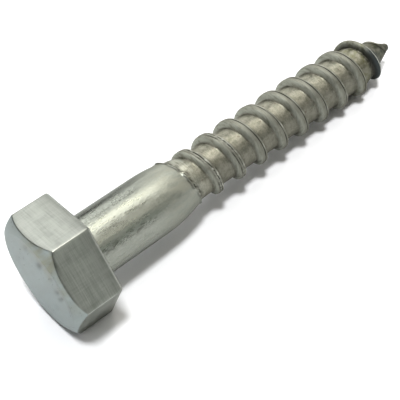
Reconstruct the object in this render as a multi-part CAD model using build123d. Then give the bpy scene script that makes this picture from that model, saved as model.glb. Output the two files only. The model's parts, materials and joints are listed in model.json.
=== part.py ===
from build123d import *
import os
from math import asin, atan2, ceil, cos, degrees, floor, hypot, radians, sin, sqrt, tan

# A hexagon-head lag screw, all one piece. Sizes are in millimetres.
# It is modelled along +X, with the bearing face under its head at 0, and then laid down as it rests:
# on the rim of one flat of the head and on the crest of its last full turn of thread.

# Head
across_flats = 17.0
head_height = 7.25
top_margin = 0.8              # from the middle of a flat in to the flat end of the head
chamfer_depth = 1.35          # of the rounded chamfer, at the six corners
chamfer_arc_radius = 5.8
side_edge_rounding = 0.2
rim_rounding = 0.5            # round the bearing face

# Shank
length_under_head = 63.45
shank_diameter = 9.66
neck_fillet = 0.4
plain_length = 12.05          # of full-size shank, before the shoulder curves in
shoulder_arc_radius = 23.6

# Thread, right-handed: a narrow ridge rolled up on a slimmer core
core_diameter = 7.0
thread_diameter = 9.0
pitch = 4.43
crest_width = 1.3
crest_crown = 0.18            # the crest's middle stands this far above its edges
flank_angle = 17.0            # from square to the axis
thread_lead = 8.45            # from the end of the plain shank to turn 0 of the ridge
turn_zero_angle = 44.5        # of turn 0, round the axis from +Y towards +Z
ridge_start_turn = -0.9       # here the ridge is still buried in the shoulder
ridge_full_turn = 1.0         # the crest, low at first, is full size from here on
ridge_rise = 0.27             # over the last turn before that, and four times this over the last two
groove_start_turn = -1.36     # where the first groove begins, at the shank's full size
groove_fall_turns = 0.6       # the groove reaches the core over these

# Point
point_length = 8.0
point_arc_radius = 35.0
nose_radius = 0.7
crest_fall_lead = 0.4         # the crest starts to fall this far ahead of the point
crest_fall_radius = 7.5
tip_flank_angle = 42.0        # of the ridge's tip side, where the point carries it
tip_crest_share = 0.25        # of the crest's tip-side half, which is left where the point carries it

# Of the modelling only
embed = 0.4                   # how deep one form is sunk in the next, so that they join
points_per_turn = 24
tapers_per_curve = 3          # a turned curve is this many straight tapers, to keep the solid light

corner_radius = across_flats / sqrt(3)
shank_radius = shank_diameter / 2
core_radius = core_diameter / 2
crest_radius = thread_diameter / 2
first_crest = plain_length + thread_lead
point_start = length_under_head - point_length
nose_start = length_under_head - nose_radius
crest_fall_start = point_start - crest_fall_lead
lean_run = pitch / 2          # over this, halfway past the crest's fall, the ridge takes its tip form


def arc_drop(radius, run):
    """How far a curve of this radius has fallen, after this run from where it was level."""
    return radius - sqrt(radius**2 - run**2)


def arc_run(radius, drop):
    return sqrt(radius**2 - (radius - drop) ** 2)


def tapers(start, end, radius):
    """A curve between two points of an outline, as straight tapers whose ends lie on it."""
    curve = RadiusArc(start, end, radius)
    return Polyline(*[curve @ (i / tapers_per_curve) for i in range(tapers_per_curve + 1)])


def turned(outline):
    """The solid that an outline of (axis position, radius) gives when it is turned on the axis."""
    return revolve(make_face(outline), Axis.X, 360)


# Helical forms: a section, given as (axis position, radius), is carried round the axis.
def crest_position(turn):
    return first_crest + pitch * turn


def on_helix(turn, position, radius):
    angle = radians(turn_zero_angle + 360 * turn)
    return Vector(position, radius * cos(angle), radius * sin(angle))


def helical_solid(start_turn, end_turn, section):
    pieces = ceil(end_turn - start_turn)
    span = (end_turn - start_turn) / pieces
    steps = [j / points_per_turn for j in range(points_per_turn + 1)]
    corners = len(section(start_turn))
    sides = []
    for i in range(pieces):
        turns = [start_turn + span * (i + step) for step in steps]
        rows = [section(turn) for turn in turns]
        edges = []
        for corner in range(corners):
            path = [on_helix(turn, *row[corner]) for turn, row in zip(turns, rows)]
            edges.append(Edge.make_spline(path, parameters=steps))
        for corner in range(corners):
            sides.append(Face.make_surface_from_curves(edges[corner], edges[corner - 1]))
    ends = []
    for turn in (start_turn, end_turn):
        outline = [on_helix(turn, *corner) for corner in section(turn)]
        ends.append(Face(Wire.make_polygon(outline, close=True)))
    return Solid(Shell(sides + ends))


def make_head():
    hexagon = RegularPolygon(across_flats / 2, 6, major_radius=False)
    prism = extrude(Plane.YZ * fillet(hexagon.vertices(), side_edge_rounding), -head_height)
    top_radius = across_flats / 2 - top_margin
    corner_position = chamfer_depth - head_height
    chamfer = tapers((-head_height, top_radius), (corner_position, corner_radius), chamfer_arc_radius)
    outline = [
        Line((-head_height, 0), (-head_height, top_radius)),
        chamfer,
        Polyline((corner_position, corner_radius), (1, corner_radius), (1, 0), (-head_height, 0)),
    ]
    head = prism & turned(outline)
    return fillet(head.edges().group_by(Axis.X)[-1], rim_rounding)


def shoulder_end(radius):
    """Where the shoulder has come down to this radius."""
    return plain_length + arc_run(shoulder_arc_radius, shank_radius - radius)


def make_shank():
    """The plain shank and its shoulder, which the first groove of the thread cuts into."""
    sunk = core_radius - embed
    end = shoulder_end(sunk)
    neck = shank_radius + neck_fillet
    outline = [
        Polyline((end, 0), (-embed, 0), (-embed, neck), (0, neck)),
        tapers((0, neck), (neck_fillet, shank_radius), -neck_fillet),
        Line((neck_fillet, shank_radius), (plain_length, shank_radius)),
        tapers((plain_length, shank_radius), (end, sunk), shoulder_arc_radius),
        Line((end, sunk), (end, 0)),
    ]
    groove_end_turn = (shoulder_end(core_radius) - first_crest) / pitch
    return turned(outline) - helical_solid(groove_start_turn, groove_end_turn, groove_section)


def groove_section(turn):
    """The room between one turn of the ridge and the next, open outwards."""
    deepest = core_radius - embed / 2
    fall = (shank_radius - deepest) * (turn - groove_start_turn) / groove_fall_turns
    bottom = max(deepest, shank_radius - fall)
    top = shank_radius + embed
    slope = tan(radians(flank_angle))
    near = crest_position(turn) + crest_width / 2
    far = crest_position(turn + 1) - crest_width / 2
    return [
        (near + slope * (crest_radius - bottom), bottom),
        (near + slope * (crest_radius - top), top),
        (far - slope * (crest_radius - top), top),
        (far - slope * (crest_radius - bottom), bottom),
    ]


def make_core():
    """The thread's core, from inside the shank to the nose."""
    outline = [
        Polyline((plain_length, 0), (plain_length, core_radius), (point_start, core_radius)),
        tapers((point_start, core_radius), (nose_start, nose_radius), point_arc_radius),
        RadiusArc((nose_start, nose_radius), (length_under_head, 0), nose_radius),
        Line((length_under_head, 0), (plain_length, 0)),
    ]
    return turned(outline)


def ridge_top(turn):
    rise_left = ridge_rise * max(0, ridge_full_turn - turn) ** 2
    past = max(0, crest_position(turn) - crest_fall_start)
    return crest_radius - rise_left - arc_drop(crest_fall_radius, past)


def ridge_section(turn):
    """One cut through the ridge. On the point its crest gets narrower and its tip side leans over."""
    position = crest_position(turn)
    top = ridge_top(turn)
    cone_share = max(0, position - point_start) / (nose_start - point_start)
    surface = core_radius + (nose_radius - core_radius) * cone_share
    edge = top - crest_crown
    root = min(surface, edge) - embed
    lean = min(1, max(0, (position - crest_fall_start) / lean_run + 0.5))
    tip_angle = flank_angle + (tip_flank_angle - flank_angle) * lean
    head_half = crest_width / 2
    tip_half = head_half * (1 - (1 - tip_crest_share) * lean)
    return [
        (position - head_half - (edge - root) * tan(radians(flank_angle)), root),
        (position - head_half, edge),
        (position, top),
        (position + tip_half, edge),
        (position + tip_half + (edge - root) * tan(radians(tip_angle)), root),
    ]


def make_ridge():
    end = crest_fall_start + arc_run(crest_fall_radius, crest_radius - nose_radius)
    return helical_solid(ridge_start_turn, (end - first_crest) / pitch, ridge_section)


def resting_tilt():
    """How far the axis dips to the tip, in degrees, on the head's rim and the last full crest below."""
    down = (270 - turn_zero_angle) / 360
    last_turn = floor((crest_fall_start - first_crest) / pitch - down) + down
    along = crest_position(last_turn) + rim_rounding
    across = across_flats / 2 - rim_rounding - crest_radius
    return degrees(atan2(across, along) + asin(rim_rounding / hypot(along, across)))


screw = make_head() + make_shank() + make_core() + make_ridge()
lag_screw = Rot(0, resting_tilt(), 0) * screw

os.makedirs("parts", exist_ok=True)
export_step(lag_screw, "parts/lag_screw.step")
print("tilt", round(resting_tilt(), 3), "volume", round(lag_screw.volume, 1), "faces", len(lag_screw.faces()))
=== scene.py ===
import json
from math import asin, atan, atan2, cos, degrees, exp, floor, hypot, pi, radians, sin, sqrt, tan

import bmesh
import bpy
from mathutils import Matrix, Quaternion, Vector, noise

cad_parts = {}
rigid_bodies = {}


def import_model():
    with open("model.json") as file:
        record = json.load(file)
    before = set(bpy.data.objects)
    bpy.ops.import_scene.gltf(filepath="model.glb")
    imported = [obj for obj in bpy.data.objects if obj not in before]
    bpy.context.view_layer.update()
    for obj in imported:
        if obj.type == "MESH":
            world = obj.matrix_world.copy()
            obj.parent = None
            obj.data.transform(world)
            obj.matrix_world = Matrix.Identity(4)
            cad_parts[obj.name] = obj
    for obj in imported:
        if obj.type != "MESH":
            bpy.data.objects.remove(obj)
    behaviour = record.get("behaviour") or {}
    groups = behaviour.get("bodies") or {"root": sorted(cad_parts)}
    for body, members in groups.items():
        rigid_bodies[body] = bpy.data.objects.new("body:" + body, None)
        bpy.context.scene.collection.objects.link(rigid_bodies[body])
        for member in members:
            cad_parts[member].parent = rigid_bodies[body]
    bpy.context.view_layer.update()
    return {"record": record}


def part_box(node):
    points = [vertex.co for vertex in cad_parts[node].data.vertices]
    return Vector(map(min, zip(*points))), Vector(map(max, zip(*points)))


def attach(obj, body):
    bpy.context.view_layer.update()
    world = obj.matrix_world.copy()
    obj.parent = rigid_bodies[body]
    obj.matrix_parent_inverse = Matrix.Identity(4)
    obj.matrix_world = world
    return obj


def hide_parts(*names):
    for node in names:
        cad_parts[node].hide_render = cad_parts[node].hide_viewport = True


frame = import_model()
mounts = {mount["name"]: mount for mount in frame["record"]["mounts"]}

mm = 0.001
nodeName = "lag_screw"
boxLow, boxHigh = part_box(nodeName)
floorHeight = boxLow.z

# The screw is modelled in millimetres along +X, the bearing face of its head at 0, and laid down last
dip = asin(-mounts["under_head"]["axis"][2])
headHeight = Vector(mounts["head_top"]["pos_m"]).length / mm
halfFlats = Vector(mounts["upper_flat"]["pos_m"]).dot(Vector(mounts["upper_flat"]["axis"])) / mm
shankRadius = mounts["shank"]["dims"]["r_mm"]
print("Frame loaded: head", round(headHeight, 2), "mm high")
print("The axis dips", round(degrees(dip), 2), "degrees")


# Small helpers

def deselectAll():
    for item in bpy.context.view_layer.objects:
        item.select_set(False)


def workOn(*items):
    deselectAll()
    for item in items:
        item.select_set(True)
    bpy.context.view_layer.objects.active = items[0]


def startEdit(item):
    workOn(item)
    bpy.ops.object.mode_set(mode="EDIT")
    bpy.ops.mesh.select_mode(type="VERT")
    bpy.ops.mesh.select_all(action="DESELECT")


def endEdit():
    bpy.ops.object.mode_set(mode="OBJECT")


def applyModifier(item, modifier):
    workOn(item)
    bpy.ops.object.modifier_apply(modifier=modifier.name)


def selectOpenEdge(item, position):
    # the open loop that lies square to the axis at this position
    bpy.ops.mesh.select_all(action="DESELECT")
    net = bmesh.from_edit_mesh(item.data)
    for edge in net.edges:
        if edge.is_boundary and all(abs(point.co.x - position) < 0.01 for point in edge.verts):
            edge.select_set(True)
    bmesh.update_edit_mesh(item.data)


def placeRing(item, shapeOf):
    # a selected point keeps its angle round the axis; shapeOf gives its (position, radius)
    net = bmesh.from_edit_mesh(item.data)
    for point in net.verts:
        if point.select:
            angle = atan2(point.co.z, point.co.y)
            position, radius = shapeOf(angle)
            point.co = (position, radius * cos(angle), radius * sin(angle))
    bmesh.update_edit_mesh(item.data)


def extrudeRing(item, shapeOf):
    bpy.ops.mesh.extrude_region_move()
    placeRing(item, shapeOf)


def softMin(a, b, rounding):
    overlap = max(rounding - abs(a - b), 0) / rounding
    return min(a, b) - overlap * overlap * rounding / 4


def softMax(a, b, rounding):
    return -softMin(-a, -b, rounding)


def bell(distance, width):
    return exp(-(distance / width) ** 2)


def band(shape, here):
    # a soft band, given by its place, its width and its strength
    place, width, strength = shape
    return strength * bell(here - place, width)


def ease(value, start, end):
    # from 0 at the start to 1 at the end, whichever of them is the larger
    share = min(max((value - start) / (end - start), 0), 1)
    return share * share * (3 - 2 * share)


def arcCentre(start, end, radius):
    # of the arc that bulges away from the axis, between two points given as (position, radius)
    along, outward = end[0] - start[0], end[1] - start[1]
    chord = hypot(along, outward)
    reach = sqrt(radius * radius - chord * chord / 4)
    return (
        (start[0] + end[0]) / 2 + reach * outward / chord,
        (start[1] + end[1]) / 2 - reach * along / chord,
    )


# Shank, thread and point

shaft = {
    "plainLength": 12.05,         # of full-size shank
    "shoulderArc": 23.6,
    "neckFillet": 0.4,
    "coreRadius": 3.5,
    "crestRadius": 4.46,
    "crestLean": 0.07,            # the rolled crest stands a little higher on one side
    "crestLeanAngle": 42,
    "pitch": 4.43,
    "firstCrest": 20.5,           # turn 0 of the ridge
    "zeroAngle": 44.5,            # its angle, from +Y towards +Z
    "crestHalf": 0.66,
    "crestCrown": 0.07,
    "crestSwing": 0.04,           # how uneven the crest is
    "headSideCrown": 0.16,
    "headSideRounding": 0.8,
    "tipSideRounding": 0.3,
    "rootRounding": 0.3,
    "flankAngle": 17,
    "ridgeRise": 0.27,
    "ridgeFullTurn": 1.0,
    "grooveStart": -1.36,
    "grooveFall": 0.6,
    "grooveMargin": 0.05,         # the groove starts this far outside the shank
    "pointLength": 8.0,
    "pointArc": 35.0,
    "noseRadius": 0.7,
    "crestFallLead": 0.4,
    "crestFallArc": 7.5,
    "tipFlankAngle": 42,
    "tipCrestShare": 0.25,
    "noseShift": 0.2,             # the nose sits a little off the axis
    "noseShiftRun": 3.5,
    "noseShiftAngle": 220,
    "stepsPerTurn": 96,
    "turns": 13,
}
# Across one pitch: the ridge with its seam, and the land up to the next ridge
ridgeStations = [
    -1.0, -0.92, -0.85, -0.79, -0.73, -0.67, -0.59, -0.48, -0.33, -0.15, 0.0, 0.1, 0.16, 0.2,
    0.23, 0.26, 0.29, 0.32, 0.36, 0.42, 0.5, 0.58, 0.66, 0.73, 0.79, 0.85, 0.92, 1.0,
]
landStations = [1.12, 1.3, 1.55, 1.85, 2.2, 2.55, 2.85, 3.08, 3.23, 3.34, 3.43]

# The fold along the crest, where the rolled metal closed up, and a second one on the rougher first turns
seam = {
    "place": 0.26,                # across the ridge, from its middle towards the tip
    "width": 0.085,
    "depth": 0.12,
    "wander": 0.05,
    "strength": 0.75,
    "strengthSwing": 0.6,
    "pointShift": 0.5,            # the share of its place that it loses on the point
    "secondPlace": -0.12,
    "secondWander": 0.12,
    "secondWidth": 0.07,
    "secondStrength": 0.5,
    "secondTurns": (2.3, 1.1),    # where it has faded out, and where it is full
}
# The ragged lip in which the shoulder ends, where the first groove cuts into it
lip = {
    "rounding": 0.12,
    "lastTurns": (0.6, 0.3),      # where it has run out, and where it is full
    "stray": 0.24,                # how far its edge strays, in long waves and in short ones
    "fineStray": 0.1,
    "strayAcross": (2.6, 1.8),
    "bandWander": 0.16,           # how far its bands of wear wander
    "stepHeight": (0.05, 0.35),   # a lip this low is none, and one this high is full
    "grooveMiddle": 1.6,          # across from the ridge, where the groove is at its deepest
    "crumbsOverShadow": 1.6,           # how far its crumbs stand out of the painted shadow behind it
    "ragged": 0.65,
    "raggedSwing": 1.4,
    "raggedMost": 1.1,
    "crumbSwing": 1.3,            # torn crumbs of steel on it
    "patchStart": 0.1,            # and patches of grime
    # bands along its edge: place from the edge towards the tip, width, and height or strength
    "burr": (-0.08, 0.2, 0.28),
    "crumbs": (0.3, 0.3, 0.16),
    # painted shadow on the land behind the lip's edge
    "undercutShadow": (0.36, 0.17, 1),
    # a darker band in front of the lip's edge, where it is less ragged
    "backDarkening": (-0.24, 0.16, 0.8),
    "patchGrime": (0.6, 0.3, 1.3),
    # painted highlight on the crumbs along its edge
    "shine": (-0.02, 0.14, 0.4),
}
# Grime, painted shade and painted highlights on the thread, in bands across the ridge: place, width and
# strength
threadWear = {
    "climb": (0, 0.5),            # above the core: where the ridge starts, and where it is full
    # grime and painted shade in the fold along the crest, and a darker band across the crest
    "foldDirtAndShade": 1.5,
    "crestDarkening": (0.1, 0.5, 0.12),
    # painted highlights along the crest's edges, rougher on the first turns
    "roughShine": (0.3, 0.35, 0.8),
    "roughTurns": (2.3, 0.8),
    "edgeShine": (0.46, 0.07, 0.5),
    "edgeShineStart": 0.2,
    "edgeShineSwing": 1.5,
    # painted highlight on the ridge along the point
    "pointShine": (0.18, 0.13, 1),
    # painted shade at the foot of the ridge, on its head side and on its tip side
    "headRootShade": (-0.05, 0.1, 0.4),
    "headRootShadeAtPoint": (-0.05, 0.4, 0.95),
    "tipRootShade": (0.1, 0.2, 0.5),
    # painted light: how far the head-side flank is painted lighter, across the ridge and above the core
    "flankAcross": (-0.2, -0.55),
    "flankHeight": (1.2, 0.7),
    "firstLand": 0.5,             # how clean the land before turn 0 is
    "firstLandRun": 2,
    "leastShoulder": 0.15,        # above the core, where the shoulder still shows unrolled
}
# Uneven along the thread: waves to a turn, and a strip of noise of its own
wavers = {
    "seamPlace": (7, 3.1),
    "seamStrength": (16, 8.4),
    "secondPlace": (9, 6.6),
    "secondStrength": (21, 1.3),
    "lipBand": (30, 7.7),
    "lipBurr": (31, 16.4),
    "lipStray": (19, 12.1),
    "lipFineStray": (43, 2.6),
    "crest": (8, 5.1),
    "edgeShine": (26, 9.2),
}
# Specks on it: waves to a turn, waves to a millimetre across, and a layer of noise of their own
specks = {
    "crumbs": (75, 4, 0.4),
    "patches": (27, 2.5, 2.2),
}
threadLayers = ("dirtAndShade", "ridge", "flank", "shine", "unrolled")

shaft["length"] = (boxHigh.x / mm - shaft["noseRadius"]) / cos(dip) + shaft["noseRadius"]
shaft["pointStart"] = shaft["length"] - shaft["pointLength"]
shaft["noseStart"] = shaft["length"] - shaft["noseRadius"]
shaft["crestFall"] = shaft["pointStart"] - shaft["crestFallLead"]
shaft["pointCentre"] = arcCentre(
    (shaft["pointStart"], shaft["coreRadius"]),
    (shaft["noseStart"], shaft["noseRadius"]),
    shaft["pointArc"],
)
flankSlope = tan(radians(shaft["flankAngle"]))


def waver(turn, what, across=0):
    waves, strip = wavers[what]
    return noise.noise(Vector((turn * waves, strip, across)))


def speck(turn, across, what):
    waves, wavesAcross, layer = specks[what]
    return noise.noise(Vector((turn * waves, across * wavesAcross, layer)))


def coreSurface(position):
    if position < shaft["pointStart"]:
        return shaft["coreRadius"]
    centre, arc = shaft["pointCentre"], shaft["pointArc"]
    return centre[1] + sqrt(arc * arc - (position - centre[0]) ** 2)


def shoulderSurface(position):
    run = max(0, position - shaft["plainLength"])
    arc = shaft["shoulderArc"]
    return shankRadius - arc + sqrt(max(arc * arc - run * run, 0))


def crestTop(turn, angle):
    rise = shaft["ridgeRise"] * max(0, shaft["ridgeFullTurn"] - turn) ** 2
    past = max(0, shaft["firstCrest"] + shaft["pitch"] * turn - shaft["crestFall"])
    arc = shaft["crestFallArc"]
    drop = arc - sqrt(max(arc * arc - past * past, 0))
    lean = shaft["crestLean"] * cos(angle - radians(shaft["crestLeanAngle"]))
    return shaft["crestRadius"] + lean - rise - drop


def pointLean(turn):
    # how far the ridge leans over, as it does on the point
    place = shaft["firstCrest"] + shaft["pitch"] * turn
    return min(1, max(0, (place - shaft["crestFall"]) / (shaft["pitch"] / 2) + 0.5))


def ridgeSurface(turn, across, angle):
    # across is the distance from the ridge's middle, towards the tip
    top = crestTop(turn, angle)
    half, slope = shaft["crestHalf"], shaft["flankAngle"]
    fall, rounding = shaft["headSideCrown"], shaft["headSideRounding"]
    if across > 0:
        half *= 1 - (1 - shaft["tipCrestShare"]) * pointLean(turn)
        slope += (shaft["tipFlankAngle"] - slope) * pointLean(turn)
        fall, rounding = shaft["crestCrown"], shaft["tipSideRounding"]
    crown = top - fall * min((across / half) ** 2, 4)
    flank = top - fall - (abs(across) - half) / tan(radians(slope))
    return softMin(crown, flank, rounding)


def grooveSurface(turn, across):
    # what the rolling leaves between one turn of the ridge and the next
    fallen = min(max((turn - shaft["grooveStart"]) / shaft["grooveFall"], 0), 1)
    start = shankRadius + shaft["grooveMargin"]
    bottom = start - (start - shaft["coreRadius"]) * fallen
    near = shaft["crestRadius"] - (across - shaft["crestHalf"]) / flankSlope
    far = shaft["crestRadius"] - (shaft["pitch"] - across - shaft["crestHalf"]) / flankSlope
    return max(bottom, near, far)


def seamShape(turn, across):
    # how much of the folds lies here: 1 in the middle of one
    place = seam["place"] * (1 - seam["pointShift"] * pointLean(turn))
    place += seam["wander"] * waver(turn, "seamPlace")
    strength = seam["strength"] + seam["strengthSwing"] * waver(turn, "seamStrength")
    second = seam["secondPlace"] + seam["secondWander"] * waver(turn, "secondPlace")
    secondStrength = max(0, seam["secondStrength"] + waver(turn, "secondStrength"))
    secondStrength *= ease(turn, *seam["secondTurns"])
    fold = strength * bell(across - place, seam["width"])
    fold += secondStrength * bell(across - second, seam["secondWidth"])
    return max(0, fold)


def locate(position, angle):
    # the turn of the ridge that this belongs to, and the distance from its middle towards the tip
    part = (degrees(angle) - shaft["zeroAngle"]) / 360
    turns = (position - shaft["firstCrest"]) / shaft["pitch"] - part
    whole = floor(turns - ridgeStations[0] / shaft["pitch"] + 1e-6)
    return whole + part, (turns - whole) * shaft["pitch"]


def lipStray(turn, across):
    # how far the edge of the lip strays from its path
    stray = lip["stray"] * waver(turn, "lipStray") + lip["fineStray"] * waver(turn, "lipFineStray")
    return stray * ease(turn, *lip["lastTurns"]) * ease(across, *lip["strayAcross"])


def lipMarks(turn, across, stray, shoulder, core, crumbs):
    # how far the lip is turned up and its crumbs stand out, with its grime, painted shadow and painted
    # highlights
    past = across + stray - shaft["crestHalf"] - flankSlope * (shaft["crestRadius"] - shoulder)
    past += lip["bandWander"] * waver(turn, "lipBand")
    below = max(grooveSurface(turn, lip["grooveMiddle"]), core)
    step = ease(shoulder - below, *lip["stepHeight"])
    ragged = max(0, lip["ragged"] + lip["raggedSwing"] * waver(turn, "lipBurr"))
    ragged = min(ragged, lip["raggedMost"])
    patches = max(0, lip["patchStart"] + speck(turn, across, "patches"))
    burr = ragged * band(lip["burr"], past) * step
    raised = crumbs * band(lip["crumbs"], past) * step
    # painted shadow behind the lip, a darker band in front of it, and patches of grime
    dirtAndShade = step * max(
        (1 - lip["crumbsOverShadow"] * crumbs) * band(lip["undercutShadow"], past),
        (1 - ragged) * band(lip["backDarkening"], past),
        patches * band(lip["patchGrime"], past),
    )
    # painted highlight on the crumbs
    shine = crumbs * band(lip["shine"], past) * step
    return burr, raised, dirtAndShade, shine


def crestMarks(turn, across, climb, crumbs):
    # how far the crest is raised or folded in, with grime and painted shade in its fold, and painted
    # highlights
    fold = seamShape(turn, across) * climb
    raised = shaft["crestSwing"] * waver(turn, "crest", across) * climb - fold * seam["depth"]
    # grime and painted shade in the fold, and a darker band across the crest
    dirtAndShade = max(threadWear["foldDirtAndShade"] * fold, band(threadWear["crestDarkening"], across))
    rough = ease(turn, *threadWear["roughTurns"]) * crumbs
    broken = threadWear["edgeShineStart"] + threadWear["edgeShineSwing"] * waver(turn, "edgeShine")
    # painted highlights along the crest
    shine = climb * max(
        rough * band(threadWear["roughShine"], across),
        broken * band(threadWear["edgeShine"], across),
    )
    return raised, dirtAndShade, shine


def rootShade(turn, across, angle, core):
    # painted shade at the foot of the ridge, on either side
    half, lean = shaft["crestHalf"], pointLean(turn)
    foot = (crestTop(turn, angle) - shaft["crestCrown"] - core) * flankSlope
    atThread, atPoint = threadWear["headRootShade"], threadWear["headRootShadeAtPoint"]
    headRoot = [low + (high - low) * lean for low, high in zip(atThread, atPoint)]
    return max(
        band(headRoot, across + half + foot),
        band(threadWear["tipRootShade"], across - half - foot),
    )


def threadSurface(position, angle):
    # the radius here, and how far each kind of wear, finish, painted shade and painted highlight applies
    turn, across = locate(position, angle)
    stray = lipStray(turn, across)
    if across >= 0:
        cut = grooveSurface(turn, across + stray)
    else:
        cut = grooveSurface(turn - 1, across + shaft["pitch"])
    shoulder, core = shoulderSurface(position), coreSurface(position)
    here = ridgeSurface(turn, across, angle)
    ridge = max(here, ridgeSurface(turn + 1, across - shaft["pitch"], angle))
    climb = ease(here - core, *threadWear["climb"])
    crumbs = max(0, lip["crumbSwing"] * speck(turn, across, "crumbs"))

    raised, dirtAndShade, shine = 0, 0, 0
    if across > 0 and turn < lip["lastTurns"][0]:
        burr, raised, dirtAndShade, shine = lipMarks(turn, across, stray, shoulder, core, crumbs)
        shoulder += burr
    body = softMin(shoulder, cut, lip["rounding"])
    thread = softMax(core, ridge, shaft["rootRounding"])
    surface = softMax(thread, body, lip["rounding"]) + raised
    if here > body and here > core:
        raised, dirtAndShade, crestShine = crestMarks(turn, across, climb, crumbs)
        surface += raised
        shine = max(shine, crestShine)
    if core > body:
        # painted shade at the foot of the ridge
        dirtAndShade = max(dirtAndShade, rootShade(turn, across, angle, core))
    # painted highlight on the ridge along the point
    shine = max(shine, pointLean(turn) * climb * band(threadWear["pointShine"], across))

    # painted light on the head-side flank, and a cleaner land before turn 0
    flank = climb * ease(across, *threadWear["flankAcross"])
    flank *= ease(surface - core, *threadWear["flankHeight"])
    start = shaft["firstCrest"]
    firstLand = threadWear["firstLand"] * ease(position, start, start - threadWear["firstLandRun"])
    unrolled = max(ridge, core + threadWear["leastShoulder"]) < shoulder < cut
    return surface, {
        "dirtAndShade": min(1, dirtAndShade),
        "ridge": climb,
        "flank": max(flank, firstLand),
        "shine": min(1, shine),
        "unrolled": float(unrolled),
    }


def rollThread():
    bpy.ops.mesh.primitive_plane_add(size=1)
    screw = bpy.context.active_object
    screw.name = "lag_screw_steel"
    startEdit(screw)
    bpy.ops.mesh.select_all(action="SELECT")
    bpy.ops.mesh.merge(type="CENTER")
    stations = ridgeStations + landStations
    startTurn = -3 - shaft["zeroAngle"] / 360
    start = shaft["firstCrest"] + shaft["pitch"] * startTurn + stations[0]
    net = bmesh.from_edit_mesh(screw.data)
    for point in net.verts:
        point.co = (start, shaft["coreRadius"], 0)
        point.select_set(True)
    bmesh.update_edit_mesh(screw.data)
    for here, there in zip(stations, stations[1:]):
        bpy.ops.mesh.extrude_vertices_move(TRANSFORM_OT_translate={"value": (there - here, 0, 0)})
    endEdit()
    turning = screw.modifiers.new("Turns", "SCREW")
    turning.axis = "X"
    turning.angle = 2 * pi
    turning.screw_offset = shaft["pitch"]
    turning.iterations = shaft["turns"]
    turning.steps = shaft["stepsPerTurn"]
    turning.render_steps = shaft["stepsPerTurn"]
    applyModifier(screw, turning)
    startEdit(screw)
    bpy.ops.mesh.select_all(action="SELECT")
    bpy.ops.mesh.remove_doubles(threshold=0.001)
    # the full-size shank and the nose are square to the axis, so the thread is cut off there
    bpy.ops.mesh.select_all(action="SELECT")
    bpy.ops.mesh.bisect(plane_co=(shaft["plainLength"], 0, 0), plane_no=(1, 0, 0), clear_inner=True)
    bpy.ops.mesh.select_all(action="SELECT")
    bpy.ops.mesh.bisect(plane_co=(shaft["noseStart"], 0, 0), plane_no=(1, 0, 0), clear_outer=True)
    for position in (shaft["plainLength"], shaft["noseStart"]):
        selectOpenEdge(screw, position)
        bpy.ops.mesh.remove_doubles(threshold=0.04)
    net = bmesh.from_edit_mesh(screw.data)
    for name in threadLayers:
        net.verts.layers.float.new(name)
    for point in net.verts:
        angle = atan2(point.co.z, point.co.y)
        radius, found = threadSurface(point.co.x, angle)
        point.co.y, point.co.z = radius * cos(angle), radius * sin(angle)
        for name, value in found.items():
            point[net.verts.layers.float[name]] = value
    bmesh.update_edit_mesh(screw.data)
    endEdit()
    print("Thread rolled:", len(screw.data.vertices), "points")
    return screw


def closeNose(screw):
    startEdit(screw)
    selectOpenEdge(screw, shaft["noseStart"])
    for steep in (18, 36, 54, 72):
        place = shaft["noseStart"] + shaft["noseRadius"] * sin(radians(steep))
        radius = shaft["noseRadius"] * cos(radians(steep))
        extrudeRing(screw, lambda angle: (place, radius))
    extrudeRing(screw, lambda angle: (shaft["length"], 0.05))
    bpy.ops.mesh.merge(type="CENTER")
    net = bmesh.from_edit_mesh(screw.data)
    turn = radians(shaft["noseShiftAngle"])
    for point in net.verts:
        towardsTip = ease(point.co.x, shaft["length"] - shaft["noseShiftRun"], shaft["length"])
        point.co.y += shaft["noseShift"] * towardsTip * cos(turn)
        point.co.z += shaft["noseShift"] * towardsTip * sin(turn)
    bmesh.update_edit_mesh(screw.data)
    endEdit()
    print("Nose closed")


def drawShank(screw):
    startEdit(screw)
    selectOpenEdge(screw, shaft["plainLength"])
    fillet = shaft["neckFillet"]
    for place in (11, 9.5, 8, 6.5, 5, 3.5, 2, 1, fillet):
        extrudeRing(screw, lambda angle: (place, shankRadius))
    for steep in (22.5, 45, 67.5, 90):
        place = fillet * (1 - sin(radians(steep)))
        radius = shankRadius + fillet * (1 - cos(radians(steep)))
        extrudeRing(screw, lambda angle: (place, radius))
    endEdit()
    print("Shank drawn")


# Head

head = {
    "cornerRounding": 0.2,
    "rimRounding": 0.5,           # round the bearing face
    "rimMargin": 0.15,            # of the bearing face, inside its rounding
    "topMargin": 0.8,             # from the middle of a flat in to the flat end
    "chamferDepth": 1.35,         # at the six corners
    "chamferArc": 5.8,
    "edgeSoftness": 0.09,         # of the edge between chamfer and flats
    "cutsPerFlat": 27,
    "flatRows": (0.1, 0.35, 0.65, 0.9),
    "chamferRows": (0.07, 0.2, 0.4, 0.6, 0.8, 0.93),
    "endEdge": 0.03,              # the flat end starts with a narrow row, and a wider one up to endStart
    "endStart": 0.15,
    "endRows": 30,
    "endRowWidth": 0.25,
    # knocks in its end, drawn out one way: across the screw, up, reach and depth
    "dents": [
        (-2.2, 4.8, 0.5, 0.12), (-4.7, 4.0, 0.3, 0.06), (-5.2, 1.8, 0.4, 0.09), (-6.2, 1.4, 0.25, 0.08),
        (-5.4, 0.5, 0.35, 0.08), (0.4, 6.2, 0.5, 0.05), (-3.4, -2.6, 0.5, 0.03), (4.6, 1.2, 0.6, 0.03),
    ],
    "dentAngle": 132,
    "dentLength": 2.6,            # times as long as wide
    "dentMargin": 0.8,            # they fade out over this, next to the chamfer
    "waviness": 0.05,
    "wavesPerMm": 0.35,
    "waveLayer": 4.4,
}
head["topRadius"] = halfFlats - head["topMargin"]
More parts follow.
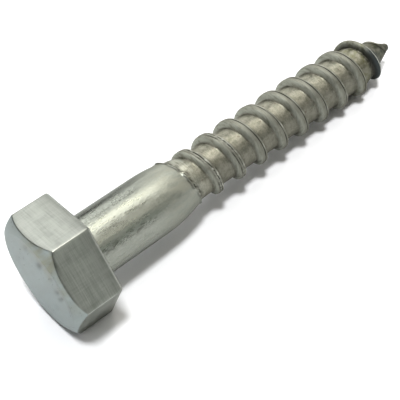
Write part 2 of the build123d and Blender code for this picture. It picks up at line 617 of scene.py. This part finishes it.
head["chamferCentre"] = arcCentre(
    (-headHeight, head["topRadius"]),
    (head["chamferDepth"] - headHeight, halfFlats / cos(pi / 6)),
    head["chamferArc"],
)


def hexRadius(angle, inset=0):
    # the corners lie at 0, 60, 120 degrees and so on
    apothem, rounding = halfFlats - inset, head["cornerRounding"]
    fromFlat = abs(angle % (pi / 3) - pi / 6)
    straightEnd = atan((apothem - rounding) * tan(pi / 6) / apothem)
    if fromFlat <= straightEnd:
        return apothem / cos(fromFlat)
    reach = (apothem - rounding) / cos(pi / 6)
    fromCorner = pi / 6 - fromFlat
    return reach * cos(fromCorner) + sqrt(rounding * rounding - (reach * sin(fromCorner)) ** 2)


def chamferPoint(angle, share):
    # share runs from 0 at the flat to 1 at the end of the head
    centre, arc = head["chamferCentre"], head["chamferArc"]
    start = pi - asin((hexRadius(angle) - centre[1]) / arc)
    end = pi - asin((head["topRadius"] - centre[1]) / arc)
    place = start + (end - start) * share
    return (centre[0] + arc * cos(place), centre[1] + arc * sin(place))


def chamferEdge(angle):
    return chamferPoint(angle, 0)[0]


def dentAt(y, z):
    along, across = cos(radians(head["dentAngle"])), sin(radians(head["dentAngle"]))
    depth = 0
    for dentY, dentZ, reach, deep in head["dents"]:
        lengthwise = ((y - dentY) * along + (z - dentZ) * across) / head["dentLength"]
        crosswise = (z - dentZ) * along - (y - dentY) * across
        depth += deep * bell(hypot(lengthwise, crosswise), reach)
    return depth


def dentEnd(block):
    net = bmesh.from_edit_mesh(block.data)
    waves, rim = head["wavesPerMm"], head["topRadius"]
    for point in net.verts:
        if point.co.x < -headHeight + 0.2:
            y, z = point.co.y, point.co.z
            inside = ease(hypot(y, z), rim, rim - head["dentMargin"])
            wave = noise.noise(Vector((y * waves, z * waves, head["waveLayer"])))
            point.co.x += inside * (head["waviness"] * max(0, wave) + dentAt(y, z))
    bmesh.update_edit_mesh(block.data)


def hexOutline():
    # a hexagon with rounded corners, its sides cut up
    bpy.ops.mesh.primitive_circle_add(
        vertices=6, radius=halfFlats / cos(pi / 6), fill_type="NGON", rotation=(0, pi / 2, 0)
    )
    block = bpy.context.active_object
    bpy.ops.object.transform_apply(location=False, rotation=True, scale=False)
    startEdit(block)
    bpy.ops.mesh.select_all(action="SELECT")
    corner = head["cornerRounding"] * tan(pi / 6)
    bpy.ops.mesh.bevel(offset=corner, segments=4, affect="VERTICES", profile=0.5)
    bpy.ops.mesh.select_all(action="SELECT")
    bpy.ops.mesh.delete(type="ONLY_FACE")
    net = bmesh.from_edit_mesh(block.data)
    for edge in net.edges:
        edge.select_set(edge.calc_length() > 1)
    bmesh.update_edit_mesh(block.data)
    bpy.ops.mesh.subdivide(number_cuts=head["cutsPerFlat"])
    bpy.ops.mesh.select_all(action="SELECT")
    return block


def forgeHead():
    block = hexOutline()
    rim, soft, margin = head["rimRounding"], head["edgeSoftness"], head["rimMargin"]
    placeRing(block, lambda angle: (0, hexRadius(angle, rim + margin)))
    for steep in (0, 18, 36, 54, 72, 90):
        place, inset = rim * (cos(radians(steep)) - 1), rim * (1 - sin(radians(steep)))
        extrudeRing(block, lambda angle: (place, hexRadius(angle, inset)))
    for share in head["flatRows"]:
        extrudeRing(block, lambda angle: (-rim + (chamferEdge(angle) + rim) * share, hexRadius(angle)))
    extrudeRing(block, lambda angle: (chamferEdge(angle) + soft, hexRadius(angle)))
    extrudeRing(block, lambda angle: (chamferEdge(angle) + soft * 0.2, hexRadius(angle) - soft * 0.15))
    for share in head["chamferRows"]:
        extrudeRing(block, lambda angle: chamferPoint(angle, share))
    extrudeRing(block, lambda angle: (-headHeight, head["topRadius"] - head["endEdge"]))
    for row in range(head["endRows"]):
        inward = head["endStart"] + head["endRowWidth"] * row
        extrudeRing(block, lambda angle: (-headHeight, head["topRadius"] - inward))
    bpy.ops.mesh.merge(type="CENTER")
    dentEnd(block)
    endEdit()
    print("Head forged:", len(block.data.vertices), "points")
    return block


def joinHead(screw, block):
    workOn(screw, block)
    bpy.ops.object.join()
    startEdit(screw)
    net = bmesh.from_edit_mesh(screw.data)
    for edge in net.edges:
        if edge.is_boundary:
            edge.select_set(True)
    bmesh.update_edit_mesh(screw.data)
    bpy.ops.mesh.bridge_edge_loops()
    bpy.ops.mesh.select_all(action="SELECT")
    bpy.ops.mesh.remove_doubles(threshold=0.0005)
    bpy.ops.mesh.select_all(action="SELECT")
    bpy.ops.mesh.normals_make_consistent(inside=False)
    net = bmesh.from_edit_mesh(screw.data)
    print("Head joined, open edges left:", sum(1 for edge in net.edges if not edge.is_manifold))
    endEdit()


# Wear, painted shade and painted highlights, placed along the axis in mm and round it in degrees

wear = {
    # three values are a band: its place or angle, its width and its strength;
    # two values are where something starts and where it is full
    "scuff": (154, 7, 1),         # a scuffed line along the shank
    "scuffStart": (0, 2),
    "scuffEnd": (11, 9),
    # a darker band along the shank, just past the scuffed line
    "scuffSideDarkening": (163, 14, 0.3),
    "dullPlaces": (9, 15),        # where the shank gets duller
    "threadLead": 5,              # past the plain shank, where the thread's own wear takes over
    # painted shade in bands round the thread, on its ridges and on its lands
    "ridgeShadeBand": (134, 26, 0.42),
    "landShadeBand": (152, 18, 0.3),
    # painted highlight along a corner of the head
    "cornerShine": (120, 1, 0.25),
    "patch": (124, 42, 1),        # of olive on the head's end
    "patchReach": (3.5, 7.5),
    # painted shade, darker round the underside of the shank and thread
    "undersideAngle": 218,
    "undersideReach": (75, 45),   # either side of that angle
    "undersideShade": 0.32,
    "undersideLandShade": 0.16,
    "landRun": 3,                 # after turn 0, until the lands are fully grimy
    # painted shade on the lower ridges
    "lowRidgeShade": 0.3,
    "lowRidgeAngles": (192, 210),
    "dentGrime": 4.5,
    "chamferEdgeShade": (0, 0.12, 0.15),  # painted shade along the chamfer; its place is from the edge of the chamfer
    "rimShade": 0.24,             # painted shade next to the bearing face
    "rimPlaces": (-2.6, -0.6),
    "rimAngles": (195, 175),
    "flatShade": 0.15,            # painted shade on one flat and its chamfer
    "flatStart": (118, 126),
    "flatEnd": (200, 185),
    "scorchPlaces": (-0.7, 1.3),  # from the start of the point, and singed before that
    "singePlaces": (-3.5, -1.5),
    "singe": 0.42,
    # the scorch is darkened by painted shade round the point's lower side, from these angles on
    "scorchAngles": (85, 135),
    "scorch": 0.45,
    "scorchShadeBelow": 0.2,
    "ridgeScorch": -0.2,
    "ridgeScorchShadeBelow": 0.55,
    "ridgeClimb": (0, 0.4),       # above the core
}


def cover(dirtAndShade, more):
    # with more grime and painted shade over what is there
    return dirtAndShade + (1 - dirtAndShade) * more


def tipScorch(place, outward, turned):
    tip = shaft["pointStart"]
    scorched = ease(place - tip, *wear["scorchPlaces"])
    singed = (1 - scorched) * ease(place - tip, *wear["singePlaces"])
    # painted shade darkens the scorch round the lower side
    below = ease(turned, *wear["scorchAngles"])
    onRidge = ease(outward - coreSurface(place), *wear["ridgeClimb"])
    strength = wear["scorch"] + wear["scorchShadeBelow"] * below
    strength += onRidge * (wear["ridgeScorch"] + wear["ridgeScorchShadeBelow"] * below)
    return scorched * strength + wear["singe"] * singed


def shaftWear(place, outward, turned, dirtAndShade, ridge):
    start = shaft["firstCrest"]
    onLand = ease(place, start, start + wear["landRun"]) * (1 - ridge)
    # painted shade on the underside, stronger on the lands past turn 0
    under = ease(abs(turned - wear["undersideAngle"]), *wear["undersideReach"])
    dirtAndShade = cover(dirtAndShade, (wear["undersideShade"] + wear["undersideLandShade"] * onLand) * under)
    if place < shaft["plainLength"] + wear["threadLead"]:
        # a darker band beside the scuffed line
        dirtAndShade = max(dirtAndShade, band(wear["scuffSideDarkening"], turned))
    else:
        # painted shade in bands round the thread, on the ridges and lands, more on the lower ridges
        low = wear["lowRidgeShade"] * ease(turned, *wear["lowRidgeAngles"])
        dirtAndShade = cover(dirtAndShade, (band(wear["ridgeShadeBand"], turned) + low) * ridge)
        dirtAndShade = cover(dirtAndShade, band(wear["landShadeBand"], turned) * onLand)
    scuffed = ease(place, *wear["scuffStart"]) * ease(place, *wear["scuffEnd"])
    return {
        "dirtAndShade": min(dirtAndShade, 1),
        "scuff": band(wear["scuff"], turned) * scuffed,
        "dull": ease(place, *wear["dullPlaces"]),
        "scorch": tipScorch(place, outward, turned),
    }


def headWear(point, place, outward, angle, turned):
    dirtAndShade, shine, patch = 0, 0, 0
    onEnd = place < 0.15 - headHeight
    onFlat = abs(outward - hexRadius(angle)) < 0.05
    if onEnd:
        dirtAndShade = wear["dentGrime"] * dentAt(point.co.y, point.co.z)
    elif onFlat and place < -2:               # painted shade next to the chamfer
        dirtAndShade = band(wear["chamferEdgeShade"], place - chamferEdge(angle))
    elif -2.6 < place < -0.3:                 # painted shade next to the bearing face
        dirtAndShade = wear["rimShade"] * ease(place, *wear["rimPlaces"]) * ease(turned, *wear["rimAngles"])
    if place < -0.05 and outward > 7:         # on the outside of the head, not its bearing face; painted shade on one flat and its chamfer
        onShadedFlat = ease(turned, *wear["flatStart"]) * ease(turned, *wear["flatEnd"])
        dirtAndShade = cover(dirtAndShade, wear["flatShade"] * onShadedFlat)
    if 0.6 - headHeight < place < -0.4:       # painted highlight along a corner
        shine = band(wear["cornerShine"], turned)
    if place < -4:                            # on the chamfer and the end
        patch = band(wear["patch"], turned) * ease(outward, *wear["patchReach"])
    return {"dirtAndShade": min(dirtAndShade, 1), "shine": shine, "scuff": patch}


def paintWearAndShade(screw):
    # scuffs along the shank, painted shade on the underside and in bands round the thread, a scorched
    # tip, grime in the head's dents, and painted shade and a painted highlight on the head
    net = bmesh.new()
    net.from_mesh(screw.data)
    for name in ("scuff", "scorch", "dull"):
        net.verts.layers.float.new(name)
    layers = net.verts.layers.float
    for point in net.verts:
        place, outward = point.co.x, hypot(point.co.y, point.co.z)
        angle = atan2(point.co.z, point.co.y)
        turned = degrees(angle) % 360
        if place > 0:
            found = shaftWear(place, outward, turned, point[layers["dirtAndShade"]], point[layers["ridge"]])
        else:
            found = headWear(point, place, outward, angle, turned)
        for name, value in found.items():
            point[layers[name]] = value
    net.to_mesh(screw.data)
    net.free()
    print("Wear painted")


def layDown(screw):
    workOn(screw)
    screw.scale = (mm, mm, mm)
    screw.rotation_euler = (0, dip, 0)
    bpy.ops.object.transform_apply(location=True, rotation=True, scale=True)
    bpy.ops.object.shade_smooth()


# Steel finishes

finishes = {
    # colour and dark are mixed by a pattern, over the part of its range that contrast gives.
    # A pattern has the size of its blotches in mm (along the screw, across it and up), its detail,
    # an offset that sets it apart, and its roughness.
    "ground": {
        "colour": (0.42, 0.437, 0.395),
        "dark": (0.285, 0.305, 0.27),
        "contrast": (0.38, 0.6),
        "metal": 1,
        "edgeTint": 0.5,
        "roughness": 0.36,
        "unevenness": (-0.06, 0.08),
        "bump": 0.03,
        "patterns": {
            "streaks": ((0.2, 4, 4), 4, 0, 0.6),
            "crossed": ((4, 0.25, 0.25), 3, 0.04, 0.5),
            "clouds": ((1.6, 1.2, 1.2), 5, 0.01, 0.5),
            "bands": ((1.1, 9, 9), 2, 0.08, 0.5),
        },
    },
    "forged": {
        "colour": (0.336, 0.385, 0.378),
        "dark": (0.285, 0.325, 0.318),
        "contrast": (0.35, 0.65),
        "metal": 1,
        "edgeTint": 0.7,
        "roughness": 0.4,
        "unevenness": (-0.04, 0.06),
        "bump": 0.04,
        "olive": (0.26, 0.265, 0.205),
        "oliveShare": (0.12, 0.87),
        "pitShare": 0.25,
        "roll": 42,               # of its patterns, round the screw
        "patterns": {
            "clouds": ((3, 1.3, 5), 4, 0, 0.5),
            "patches": ((2, 1.1, 4), 4, 0.06, 0.5),
            "pits": ((0.7, 0.4, 1.4), 3, 0.02, 0.5),
        },
    },
    "drawn": {
        "colour": (0.375, 0.393, 0.347),
        "dark": (0.285, 0.303, 0.258),
        "contrast": (0.3, 0.65),
        "metal": 1,
        "edgeTint": 0.5,
        "roughness": 0.27,
        "unevenness": (-0.04, 0.06),
        "bump": 0.04,
        "shoulder": (0.36, 0.364, 0.3),
        "shoulderRoughness": 0.44,
        "scuff": (0.09, 0.09, 0.075),
        "scuffShare": 0.7,
        "patterns": {
            "streaks": ((2.2, 0.6, 0.6), 5, 0, 0.5),
            "peel": ((0.42, 0.25, 0.25), 2, 0.03, 0.5),
            "stains": ((0.9, 0.35, 0.35), 4, 0.05, 0.5),
        },
    },
    "rolled": {
        "colour": (0.36, 0.35, 0.285),
        "dark": (0.185, 0.187, 0.14),
        "contrast": (0.37, 0.6),
        "metal": 0.85,
        "edgeTint": 0.35,
        "roughness": 0.36,
        "unevenness": (-0.06, 0.1),
        "bump": 0.08,
        "crest": (0.38, 0.385, 0.325),
        # painted light: a lighter colour for the head-side flanks
        "flank": (0.52, 0.54, 0.465),
        "ridgeRoughness": 0.68,
        "stain": (0.13, 0.075, 0.05),
        "stainShare": 0.5,
        "scorched": (0.04, 0.058, 0.07),
        "burnt": (0.17, 0.17, 0.085),
        "patterns": {
            "clouds": ((0.9, 0.7, 0.7), 6, 0, 0.6),
            "grain": ((0.22, 0.22, 0.22), 2, 0.03, 0.5),
            "spots": ((0.5, 0.5, 0.5), 3, 0.07, 0.5),
            "lines": ((0.15, 1.6, 1.6), 2, 0.09, 0.5),
        },
    },
}
# the dark colour of grime and of painted shade
dirtAndShadeColour = (0.035, 0.035, 0.028)
# the colour of painted highlights
shineColour = (0.75, 0.76, 0.68)


class Finish:
    # a steel material under way: its nodes, and short ways to add to them
    def __init__(self, name):
        self.values = finishes[name]
        self.material = bpy.data.materials.new("steel_" + name)
        self.material.use_nodes = True
        self.nodes = self.material.node_tree.nodes
        self.links = self.material.node_tree.links
        self.shader = self.nodes["Principled BSDF"]
        self.shader.inputs["Metallic"].default_value = self.values["metal"]
        self.shader.inputs["Roughness"].default_value = self.values["roughness"]
        # duller where it is seen edge on
        self.shader.inputs["Specular Tint"].default_value = (*[self.values["edgeTint"]] * 3, 1)

    def pattern(self, name):
        size, detail, offset, rough = self.values["patterns"][name]
        roll = radians(self.values.get("roll", 0))
        coordinates = self.nodes.new("ShaderNodeTexCoord")
        turned = self.nodes.new("ShaderNodeMapping")
        turned.vector_type = "TEXTURE"
        turned.inputs["Rotation"].default_value = (roll, dip, 0)
        turned.inputs["Location"].default_value = (offset, offset, offset)
        turned.inputs["Scale"].default_value = [side * mm for side in size]
        cloud = self.nodes.new("ShaderNodeTexNoise")
        cloud.inputs["Scale"].default_value = 1
        cloud.inputs["Detail"].default_value = detail
        cloud.inputs["Roughness"].default_value = rough
        self.links.new(coordinates.outputs["Object"], turned.inputs["Vector"])
        self.links.new(turned.outputs["Vector"], cloud.inputs["Vector"])
        return cloud.outputs["Fac"]

    def ramp(self, value, low, high, start=0, end=1):
        scaled = self.nodes.new("ShaderNodeMapRange")
        scaled.inputs["From Min"].default_value = low
        scaled.inputs["From Max"].default_value = high
        scaled.inputs["To Min"].default_value = start
        scaled.inputs["To Max"].default_value = end
        self.links.new(value, scaled.inputs["Value"])
        return scaled.outputs["Result"]

    def math(self, operation, a, b):
        node = self.nodes.new("ShaderNodeMath")
        node.operation = operation
        for value, socket in ((a, node.inputs[0]), (b, node.inputs[1])):
            if isinstance(value, (int, float)):
                socket.default_value = value
            else:
                self.links.new(value, socket)
        return node.outputs["Value"]

    def times(self, a, b):
        return self.math("MULTIPLY", a, b)

    def plus(self, a, b):
        return self.math("ADD", a, b)

    def blend(self, *parts):
        # the sum of patterns, each with its weight
        total = 0
        for pattern, weight in parts:
            total = self.plus(self.times(pattern, weight), total)
        return total

    def mix(self, share, a, b):
        node = self.nodes.new("ShaderNodeMix")
        node.data_type = "RGBA"
        self.links.new(share, node.inputs["Factor"])
        # its inputs 6 and 7 and its output 2 are the ones for colours
        for colour, socket in ((a, node.inputs[6]), (b, node.inputs[7])):
            if isinstance(colour, tuple):
                socket.default_value = (*colour, 1)
            else:
                self.links.new(colour, socket)
        return node.outputs[2]

    def attribute(self, name):
        node = self.nodes.new("ShaderNodeAttribute")
        node.attribute_name = name
        return node.outputs["Fac"]

    def base(self, pattern):
        share = self.ramp(pattern, *self.values["contrast"])
        return self.mix(share, self.values["dark"], self.values["colour"])

    def withDirtAndShade(self, colour):
        # grime and painted shade over a colour
        return self.mix(self.attribute("dirtAndShade"), colour, dirtAndShadeColour)

    def withDirtShadeAndShine(self, colour):
        # grime and painted shade, then painted highlights, over a colour
        return self.mix(self.attribute("shine"), self.withDirtAndShade(colour), shineColour)

    def uneven(self, pattern):
        # the roughness, a little less or more by a pattern
        least, most = [self.values["roughness"] + extra for extra in self.values["unevenness"]]
        return self.ramp(pattern, 0.3, 0.7, least, most)

    def duller(self, roughness, where, most):
        # rougher where an attribute says so
        extra = self.times(self.attribute(where), self.values[most] - self.values["roughness"])
        return self.plus(roughness, extra)

    def finish(self, colour, roughness, height):
        relief = self.nodes.new("ShaderNodeBump")
        relief.inputs["Distance"].default_value = self.values["bump"] * mm
        self.links.new(height, relief.inputs["Height"])
        self.links.new(colour, self.shader.inputs["Base Color"])
        self.links.new(roughness, self.shader.inputs["Roughness"])
        self.links.new(relief.outputs["Normal"], self.shader.inputs["Normal"])
        return self.material


def groundSteel():
    # scratched round the head by the grinding belt, and faintly along it
    steel = Finish("ground")
    streaks, crossed = steel.pattern("streaks"), steel.pattern("crossed")
    clouds, bands = steel.pattern("clouds"), steel.pattern("bands")
    blend = steel.blend((streaks, 0.4), (crossed, 0.16), (clouds, 0.24), (bands, 0.24))
    return steel.finish(steel.withDirtShadeAndShine(steel.base(blend)), steel.uneven(streaks), blend)


def forgedSteel():
    # smooth, with olive patches and a few soft pits
    steel = Finish("forged")
    values = steel.values
    clouds = steel.pattern("clouds")
    patches = steel.ramp(steel.pattern("patches"), 0.3, 0.62)
    pits = steel.ramp(steel.pattern("pits"), 0.64, 0.72)
    patchy = steel.ramp(steel.attribute("scuff"), 0, 1, *values["oliveShare"])
    colour = steel.mix(steel.times(patchy, patches), steel.base(clouds), values["olive"])
    colour = steel.mix(steel.times(pits, values["pitShare"]), colour, dirtAndShadeColour)
    return steel.finish(steel.withDirtAndShade(colour), steel.uneven(clouds), steel.math("SUBTRACT", clouds, pits))


def drawnSteel():
    # drawn lengthwise, with a fine orange peel, a scuffed line on one side and a duller shoulder
    steel = Finish("drawn")
    values = steel.values
    streaks, peel = steel.pattern("streaks"), steel.pattern("peel")
    stains = steel.ramp(steel.pattern("stains"), 0.45, 0.6)
    colour = steel.base(steel.blend((streaks, 0.7), (peel, 0.3)))
    mottled = steel.times(steel.attribute("dull"), steel.ramp(streaks, 0.38, 0.62, 0, 0.75))
    colour = steel.mix(mottled, colour, values["shoulder"])
    scuffs = steel.times(steel.attribute("scuff"), stains)
    colour = steel.mix(steel.times(scuffs, values["scuffShare"]), colour, values["scuff"])
    roughness = steel.duller(steel.uneven(streaks), "dull", "shoulderRoughness")
    return steel.finish(steel.withDirtShadeAndShine(colour), roughness, steel.blend((peel, 1), (streaks, 0.03)))


def rolledSteel():
    # dull mottled lands with a few stains, painted light on the head-side flanks, and a scorched tip
    # with painted shade on its lower side
    steel = Finish("rolled")
    values = steel.values
    clouds, grain, lines = steel.pattern("clouds"), steel.pattern("grain"), steel.pattern("lines")
    spots = steel.ramp(steel.pattern("spots"), 0.64, 0.72)
    blend = steel.blend((clouds, 0.55), (grain, 0.25), (lines, 0.2))
    colour = steel.mix(steel.times(spots, values["stainShare"]), steel.base(blend), values["stain"])
    patchMask = steel.ramp(steel.blend((lines, 0.6), (clouds, 0.4)), 0.4, 0.56, 0.3, 1)
    colour = steel.mix(steel.times(steel.attribute("ridge"), patchMask), colour, values["crest"])
    # painted light: the head-side flanks lighter, and the first land cleaner
    colour = steel.mix(steel.times(steel.attribute("flank"), patchMask), colour, values["flank"])
    # a faint scorch is olive and blotchy, a strong one dark and even; the scorch also holds painted
    # shade round the point's lower side
    scorch = steel.attribute("scorch")
    burnt = steel.mix(steel.ramp(scorch, 0.45, 0.75), values["burnt"], values["scorched"])
    blotchy = steel.times(steel.ramp(scorch, 0, 0.6, 0, 0.95), steel.ramp(clouds, 0.38, 0.57, 1, 0.2))
    even = steel.ramp(scorch, 0.5, 1, 0, 0.9)
    colour = steel.mix(steel.math("MAXIMUM", blotchy, even), colour, burnt)
    roughness = steel.duller(steel.uneven(clouds), "ridge", "ridgeRoughness")
    return steel.finish(steel.withDirtShadeAndShine(colour), roughness, blend)


def dressScrew(screw):
    slots = {"ground": 0, "forged": 1, "drawn": 2, "rolled": 3}
    for material in (groundSteel(), forgedSteel(), drawnSteel(), rolledSteel()):
        screw.data.materials.append(material)
    axis = Vector((cos(dip), 0, -sin(dip)))
    unrolled = screw.data.attributes["unrolled"].data
    for face in screw.data.polygons:
        along = face.center.dot(axis) / mm
        share = sum(unrolled[point].value for point in face.vertices) / len(face.vertices)
        if along < 0.001 and face.normal.dot(axis) > -0.2:
            finish = "ground"
        elif along < 0:
            finish = "forged"
        elif along < shaft["plainLength"] or share > 0.5:
            finish = "drawn"
        else:
            finish = "rolled"
        face.material_index = slots[finish]
    print("Steel finishes on:", len(screw.data.materials))


# Floor, light and camera

studio = {
    "floorSize": 6.0,
    "floorColour": (0.94, 0.95, 0.97, 1),
    "sunFrom": (-171, 77),        # azimuth from +Y towards +X, and elevation
    "sunStrength": 2.5,
    "sunWidth": 11,
    "softboxDistance": 1.2,
    "softboxWidth": 0.5,
    "world": 0.03,
}
# azimuth, elevation and brightness of each, by colour
softboxes = {
    (1, 1, 1): [
        (20, 40, 2.3), (22, 65, 3), (38, 14, 3.2), (65, 40, 3), (280, 14, 2.4), (290, 40, 2),
    ],
    (1, 0.96, 0.88): [
        (82, 65, 4), (110, 40, 1.7), (142, 65, 1.1), (155, 40, 1.4), (120, 14, 1.2),
    ],
    (0.92, 1, 0.92): [(160, 14, 0.6)],
}
cameraView = {
    "position": (-0.028718, -0.083239, 0.093461),
    "aim": (0.021427, 0.001321, -0.0084425),
    "roll": -14.7,
    "lens": 82.323,
}


def makeFloor():
    bpy.ops.mesh.primitive_plane_add(size=studio["floorSize"], location=(0, 0, floorHeight))
    ground = bpy.context.active_object
    ground.name = "floor"
    bpy.ops.object.transform_apply(location=True, rotation=False, scale=False)
    material = bpy.data.materials.new("floor_white")
    material.use_nodes = True
    shader = material.node_tree.nodes["Principled BSDF"]
    shader.inputs["Base Color"].default_value = studio["floorColour"]
    shader.inputs["Roughness"].default_value = 1
    shader.inputs["Specular IOR Level"].default_value = 0
    ground.data.materials.append(material)


def towards(azimuth, elevation):
    turn, height = radians(azimuth), radians(elevation)
    return Vector((sin(turn) * cos(height), cos(turn) * cos(height), sin(height)))


def makeLights():
    bpy.ops.object.light_add(type="SUN")
    sun = bpy.context.active_object
    sun.rotation_euler = towards(*studio["sunFrom"]).to_track_quat("Z", "Y").to_euler()
    sun.data.energy = studio["sunStrength"]
    sun.data.angle = radians(studio["sunWidth"])
    width = studio["softboxWidth"]
    for colour, places in softboxes.items():
        for azimuth, elevation, brightness in places:
            aim = towards(azimuth, elevation)
            bpy.ops.object.light_add(type="AREA", location=aim * studio["softboxDistance"])
            softbox = bpy.context.active_object
            softbox.rotation_euler = aim.to_track_quat("Z", "Y").to_euler()
            softbox.data.shape = "DISK"
            softbox.data.size = width
            softbox.data.color = colour
            softbox.data.energy = brightness * (pi * width / 2) ** 2


def makeWorld():
    world = bpy.data.worlds.new("studio")
    bpy.context.scene.world = world
    world.use_nodes = True
    background = world.node_tree.nodes["Background"]
    background.inputs["Color"].default_value = (1, 1, 1, 1)
    background.inputs["Strength"].default_value = studio["world"]


def makeCamera():
    bpy.ops.object.camera_add(location=cameraView["position"])
    camera = bpy.context.active_object
    camera.name = "camera"
    toAim = Vector(cameraView["aim"]) - Vector(cameraView["position"])
    level = toAim.to_track_quat("-Z", "Y")
    camera.rotation_euler = (level @ Quaternion((0, 0, 1), radians(cameraView["roll"]))).to_euler()
    camera.data.lens = cameraView["lens"]
    camera.data.sensor_width = 36
    camera.data.clip_start = 0.001
    bpy.context.scene.camera = camera


screw = rollThread()
closeNose(screw)
drawShank(screw)
joinHead(screw, forgeHead())
paintWearAndShade(screw)
layDown(screw)
dressScrew(screw)
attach(screw, "root")
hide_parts(nodeName)

makeFloor()
makeLights()
makeWorld()
makeCamera()
bpy.context.scene.view_settings.view_transform = "Standard"
print("Floor, light and camera set")

print("Scene ready")
